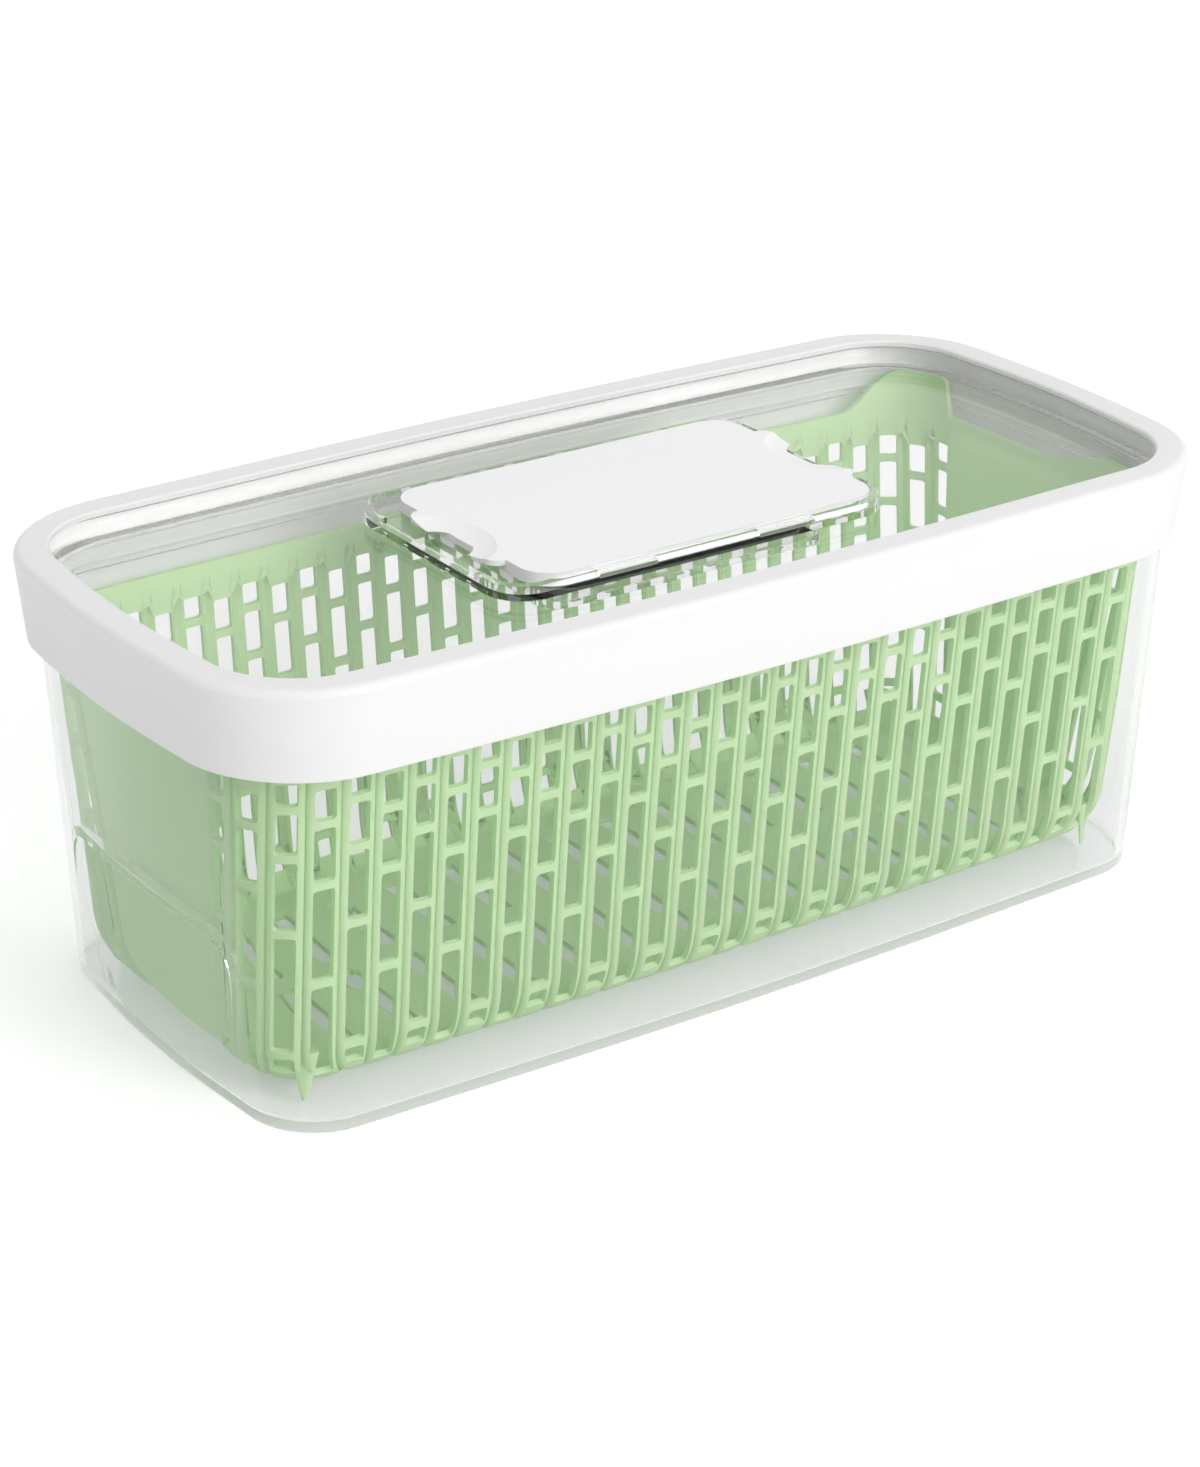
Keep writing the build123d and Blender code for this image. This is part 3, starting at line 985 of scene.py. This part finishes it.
# %% Material helpers
def new_material(name):
    material = bpy.data.materials.new(name)
    material.use_nodes = True
    nodes = material.node_tree.nodes
    nodes.clear()
    leave = nodes.new("ShaderNodeOutputMaterial")
    shader = nodes.new("ShaderNodeBsdfPrincipled")
    return material, nodes, material.node_tree.links, shader, leave


def add_grain(nodes, links, shader, scale, low, high, bump):
    cell = nodes.new("ShaderNodeGroup")
    cell.node_tree = grain
    for name, value in (("Scale", scale), ("Low", low), ("High", high)):
        cell.inputs[name].default_value = value
    links.new(cell.outputs["Roughness"], shader.inputs["Roughness"])
    relief = nodes.new("ShaderNodeBump")
    relief.inputs["Strength"].default_value = bump
    relief.inputs["Distance"].default_value = 0.05 * mm
    links.new(cell.outputs["Height"], relief.inputs["Height"])
    links.new(relief.outputs["Normal"], shader.inputs["Normal"])


def add_math(nodes, links, kind, first, second):
    """A maths node on a socket and a second socket or a number."""
    step = nodes.new("ShaderNodeMath")
    step.operation = kind
    links.new(first, step.inputs[0])
    if isinstance(second, float):
        step.inputs[1].default_value = second
    else:
        links.new(second, step.inputs[1])
    return step.outputs["Value"]


def add_mix(nodes, links, share, first, second):
    """Mixes two shaders by a share, which is a socket or a number."""
    mix = nodes.new("ShaderNodeMixShader")
    if isinstance(share, float):
        mix.inputs["Fac"].default_value = share
    else:
        links.new(share, mix.inputs["Fac"])
    links.new(first, mix.inputs[1])
    links.new(second, mix.inputs[2])
    return mix.outputs["Shader"]


def add_pass(nodes, colour):
    """A shader that light goes straight through."""
    straight = nodes.new("ShaderNodeBsdfTransparent")
    straight.inputs["Color"].default_value = (*colour, 1)
    return straight.outputs["BSDF"]


def let_light_by(nodes, links, surface, leave, share, colour):
    """Lets a share of the shadow rays through a surface, and sends the result to the material's output."""
    path = nodes.new("ShaderNodeLightPath")
    part = add_math(nodes, links, "MULTIPLY", path.outputs["Is Shadow Ray"], share)
    links.new(add_mix(nodes, links, part, surface, add_pass(nodes, colour)), leave.inputs["Surface"])


# %% [markdown]
# ## Plastics, cloth and granules
# Frosted plastic is a plain shader mixed with a translucent one, which glows where light comes from
# behind. The same function makes the opaque finishes, with no glow.

# %% Opaque and frosted finishes
plastic_bending = 1.49
fine_grain = 900.0


def make_plastic(name, colour, low, high, bump=0.15, through=0.0, lets=0.0, inner=None):
    """Opaque or frosted plastic, with a share that glows through and a share of light that passes."""
    material, nodes, links, shader, leave = new_material(name)
    inner = inner or colour
    shader.inputs["Base Color"].default_value = (*colour, 1)
    shader.inputs["IOR"].default_value = plastic_bending
    add_grain(nodes, links, shader, fine_grain, low, high, bump)
    surface = shader.outputs["BSDF"]
    if through:
        glow = nodes.new("ShaderNodeBsdfTranslucent")
        glow.inputs["Color"].default_value = (*inner, 1)
        surface = add_mix(nodes, links, through, surface, glow.outputs["BSDF"])
    let_light_by(nodes, links, surface, leave, lets, inner)
    return material


finishes = {
    "green_basket": make_plastic(
        "frosted_green_plastic", (0.7, 0.81, 0.55), 0.45, 0.6, 0.25, 0.42, 0.62, (0.58, 0.87, 0.53)
    ),
    "white_ring": make_plastic("white_ring_plastic", (0.87, 0.87, 0.87), 0.34, 0.42, 0.15, 0.25, 0.75),
    "white_cover": make_plastic("white_cover_plastic", (0.82, 0.82, 0.825), 0.34, 0.42),
    "soft_seal": make_plastic("soft_seal_rubber", (0.9, 0.9, 0.9), 0.5, 0.62, 0.1, 0.5, 0.75),
    "filter_cloth": make_plastic("bonded_filter_cloth", (0.78, 0.78, 0.76), 0.7, 0.9, 0.8),
    "carbon": make_plastic("loose_carbon", (0.012, 0.012, 0.012), 0.5, 0.8, 1.0),
}
print("opaque and frosted finishes", sorted(finishes))

# %% [markdown]
# ## Clear plastic
# Clear plastic is a shader with full transmission and a slight tint. A render follows a ray through only
# so many turns inside an edge and then leaves black. Here such a ray goes straight on instead, and the
# lid bends light less than real plastic does. Both are choices for a bright look, not how plastic acts.

# %% Clear finishes
coarse_grain = 120.0
most_steps = 6.5
most_reflections = 1.5
clear_pass = (0.93, 0.93, 0.93)


def make_clear(name, colour, bending):
    """Clear plastic that nearly all the light passes."""
    material, nodes, links, shader, leave = new_material(name)
    shader.inputs["Base Color"].default_value = (*colour, 1)
    shader.inputs["Transmission Weight"].default_value = 1.0
    shader.inputs["IOR"].default_value = bending
    add_grain(nodes, links, shader, coarse_grain, 0.0, 0.03, 0.02)
    path = nodes.new("ShaderNodeLightPath")
    long_way = add_math(nodes, links, "GREATER_THAN", path.outputs["Ray Depth"], most_steps)
    mirrored = add_math(nodes, links, "GREATER_THAN", path.outputs["Glossy Depth"], most_reflections)
    either = add_math(nodes, links, "MAXIMUM", long_way, mirrored)
    surface = add_mix(nodes, links, either, shader.outputs["BSDF"], add_pass(nodes, clear_pass))
    let_light_by(nodes, links, surface, leave, 1.0, clear_pass)
    return material


finishes["clear_tub"] = make_clear("clear_tub_plastic", (0.89, 0.893, 0.897), 1.38)
finishes["clear_lid"] = make_clear("clear_lid_plastic", (0.95, 0.945, 0.947), 1.22)
print("finishes", len(finishes))

# %% [markdown]
# ## Finish, body and node of each piece
# Each piece gets its finish, rides on the body that it belongs to, and stands in for its solid. The bed
# of granules lies inside the pouch and keeps its own solid.

# %% Ride and replace
pieces = (
    (tub, "tub", "container", "clear_tub"),
    (basket, "basket_body", "basket", "green_basket"),
    (ring, "lid", "lid_ring", "white_ring"),
    (tray, "lid", "lid_panel", "clear_lid"),
    (seal, "lid", "lid_seal", "soft_seal"),
    (pouch, "filter", "filter_pouch", "filter_cloth"),
    (housing, "housing", "vent_housing", "clear_lid"),
    (cover, "cover", "vent_cover", "white_cover"),
)
for piece, body, node, finish in pieces:
    piece.data.materials.clear()
    piece.data.materials.append(finishes[finish])
    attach(piece, body)
    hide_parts(node)
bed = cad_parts["carbon_bed"]
bed.data.materials.clear()
bed.data.materials.append(finishes["carbon"])
print("pieces", [piece.name for piece, *rest in pieces])

# %% [markdown]
# ## Floor
# A large pale floor holds the shadow. To the camera, and to clear or glossy pieces, it also shines a
# little, so that it reads as white paper without any more light on the object.

# %% Floor
floor_drop = 0.2


def add_seen_rays(nodes, links):
    """One for rays from the camera and for those seen in glossy or clear pieces, otherwise nought."""
    path = nodes.new("ShaderNodeLightPath").outputs
    seen = add_math(nodes, links, "MAXIMUM", path["Is Camera Ray"], path["Is Glossy Ray"])
    return add_math(nodes, links, "MAXIMUM", seen, path["Is Transmission Ray"])


clear_selection()
bpy.ops.mesh.primitive_plane_add(size=12, location=(0, 0, -floor_drop * mm))
floor = bpy.context.active_object
floor.name = "paper_floor"
material, nodes, links, shader, leave = new_material("white_paper")
shader.inputs["Base Color"].default_value = (0.8, 0.8, 0.8, 1)
shader.inputs["Roughness"].default_value = 0.9
shine = nodes.new("ShaderNodeEmission")
shine.inputs["Strength"].default_value = 0.31
both = nodes.new("ShaderNodeAddShader")
links.new(shader.outputs["BSDF"], both.inputs[0])
links.new(shine.outputs["Emission"], both.inputs[1])
seen = add_seen_rays(nodes, links)
surface = add_mix(nodes, links, seen, shader.outputs["BSDF"], both.outputs["Shader"])
links.new(surface, leave.inputs["Surface"])
floor.data.materials.append(material)
print("floor", floor.name)

# %% [markdown]
# ## Light
# The photograph has soft light from all round and a little more from the front. The world gives the soft
# light, and is full white where it is seen itself. One wide lamp in front gives the rest.

# %% World and lamp
world = bpy.data.worlds.new("studio")
bpy.context.scene.world = world
world.use_nodes = True
nodes, links = world.node_tree.nodes, world.node_tree.links
sky = nodes["Background"]
sky.inputs["Color"].default_value = (1, 1, 1, 1)
level = nodes.new("ShaderNodeMapRange")
level.inputs["To Min"].default_value = 0.83
level.inputs["To Max"].default_value = 1.0
links.new(add_seen_rays(nodes, links), level.inputs["Value"])
links.new(level.outputs["Result"], sky.inputs["Strength"])

light = bpy.data.lights.new("key_lamp", "AREA")
light.shape = "DISK"
light.size = 1.4
light.energy = 24
lamp = bpy.data.objects.new("key_lamp", light)
bpy.context.scene.collection.objects.link(lamp)
lamp.location = (0.4, -1.9, 1.1)
aim = Vector((0, 0, 0.06)) - lamp.location
lamp.rotation_euler = aim.to_track_quat("-Z", "Y").to_euler()
print("lamp", tuple(lamp.location))

# %% [markdown]
# ## Camera
# The camera stands where the photograph was taken from. Its place, lens and small roll come from a fit
# to the ring's and the tub's outlines in the photograph.

# %% Camera
camera_place = (-0.5651, -0.7926, 0.5041)
camera_target = (-0.007739, -0.000277, 0.059575)
camera_roll = 0.526

camera_data = bpy.data.cameras.new("camera")
camera_data.lens = 87.04
camera_data.sensor_width = 36.0
camera_data.sensor_fit = "AUTO"
camera_data.clip_start = 0.05
camera = bpy.data.objects.new("camera", camera_data)
bpy.context.scene.collection.objects.link(camera)
camera.location = camera_place
aim = Vector(camera_target) - camera.location
roll = Euler((0, 0, math.radians(camera_roll))).to_quaternion()
camera.rotation_euler = (aim.to_track_quat("-Z", "Y") @ roll).to_euler()
bpy.context.scene.camera = camera
bpy.context.scene.view_settings.view_transform = "Standard"
print("camera distance", round(aim.length, 3))
